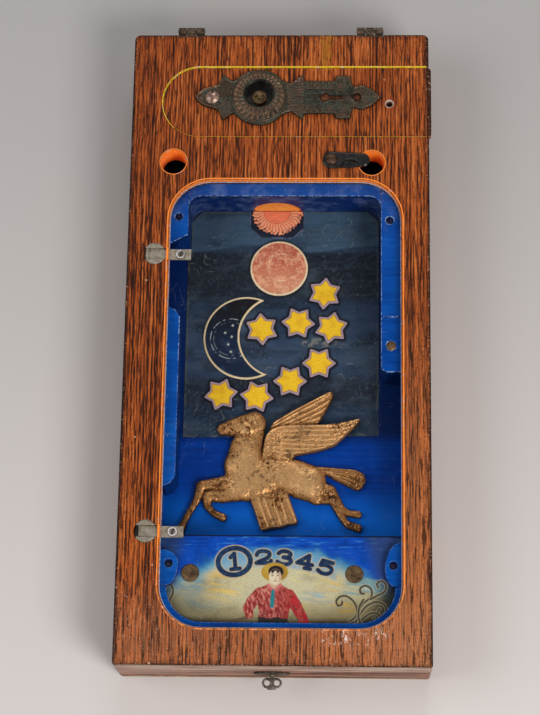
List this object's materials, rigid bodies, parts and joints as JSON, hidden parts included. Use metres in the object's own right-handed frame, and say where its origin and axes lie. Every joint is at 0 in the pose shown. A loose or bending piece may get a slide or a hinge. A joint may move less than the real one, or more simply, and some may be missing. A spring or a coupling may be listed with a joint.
{
  "type": "coin drop game",
  "caption": "Shallow oak table-top coin drop game: hinged lid with a glazed window, coin slide, gate lever and key lock over a painted playfield with cut-out pictures and a metal relief.",
  "frame": {"origin": "centre of the case's flat back face", "axes": "+Z out of the front face, +Y from the latch end to the hinge end, +X to the right as the front is looked at with the latch end nearest"},
  "size_m": [0.262, 0.5822, 0.0698],
  "materials": {
    "oak": "stained open-grained oak under worn varnish",
    "deal": "plain unvarnished softwood",
    "navy_paint": "wood painted cobalt blue, glossy and worn",
    "blue_paint": "wood painted cobalt blue, chipped at the edges",
    "sky_paper": "thin printed paper, dark mottled blue-grey",
    "label_paper": "printed paper label, aged",
    "orange_card": "card printed bright orange",
    "copper_card": "card with a copper and red marbled print",
    "moon_card": "card printed dark blue with a cream edge",
    "star_card": "card printed yellow with a lavender edge",
    "relief_bronze": "stamped metal with a worn bronze finish",
    "plate_bronze": "cast plate with a dark greenish bronze patina",
    "nickel": "dull worn nickel plate",
    "steel": "dark tarnished steel",
    "brass": "tarnished brass",
    "black_iron": "gloss black japanned iron",
    "clear_pane": "clear window pane"
  },
  "bodies": {
    "case": {"back_board": "deal", "field_cleat": "deal", "side_rail_left": "oak", "side_rail_right": "oak", "end_rail_latch": "oak", "end_rail_hinge": "oak", "field_board": "navy_paint", "sky_sheet": "sky_paper", "well_wall_top": "blue_paint", "block_top_left": "blue_paint", "block_left": "blue_paint", "rail_right": "blue_paint", "block_right": "blue_paint", "block_brass_screw": "brass", "rail_bottom": "blue_paint", "block_bottom_left": "blue_paint", "block_bottom_right": "blue_paint", "label_board": "deal", "label_card": "label_paper", "label_tack_left": "brass", "label_tack_right": "brass", "sun_plate": "orange_card", "disc_plate": "copper_card", "moon_plate": "moon_card", "star_1": "star_card", "star_2": "star_card", "star_3": "star_card", "star_4": "star_card", "star_5": "star_card", "star_6": "star_card", "star_7": "star_card", "star_8": "star_card", "winged_horse": "relief_bronze", "chute_guide_left": "navy_paint", "chute_guide_right": "navy_paint", "hinge_leaf_case_left": "steel", "hinge_leaf_case_right": "steel", "hinge_pin_left": "steel", "hinge_pin_right": "steel", "lock_plate": "steel"},
    "lid": {"lid_board": "oak", "hinge_leaf_lid_left": "steel", "hinge_leaf_lid_right": "steel", "window_cup_upper": "nickel", "window_cup_lower": "nickel", "slide_stud": "brass", "lever_screw": "brass", "strike_hook": "steel"},
    "window": {"window_pane": "clear_pane", "window_strap_upper": "nickel", "window_strap_lower": "nickel", "strap_screw_upper": "nickel", "strap_screw_lower": "nickel"},
    "slide": {"coin_slide": "oak", "door_plate": "plate_bronze", "plate_screw": "plate_bronze"},
    "lever": {"gate_lever": "black_iron"},
    "lock_key": {"key": "nickel", "lock_spindle": "steel"}
  },
  "joints": [
    {"name": "lid_hinge", "type": "hinge", "parent": "case", "child": "lid", "pos_m": [0, 0.2845, 0.061], "axis": [-1, 0, 0], "range_deg": [0, 100]},
    {"name": "window_hinge", "type": "hinge", "parent": "lid", "child": "window", "pos_m": [-0.1126, 0, 0.0619], "axis": [0, -1, 0], "range_deg": [0, 100]},
    {"name": "coin_slide_run", "type": "slide", "parent": "lid", "child": "slide", "axis": [1, 0, 0], "range_m": [0, 0.06]},
    {"name": "gate_lever_pivot", "type": "hinge", "parent": "lid", "child": "lever", "pos_m": [0.0452, 0.16, 0.064], "axis": [0, 0, 1], "range_deg": [-15, 60]},
    {"name": "key_turn", "type": "hinge", "parent": "case", "child": "lock_key", "pos_m": [-0.001, -0.28, 0.0315], "axis": [0, 1, 0], "range_deg": [0, 90]}
  ]
}
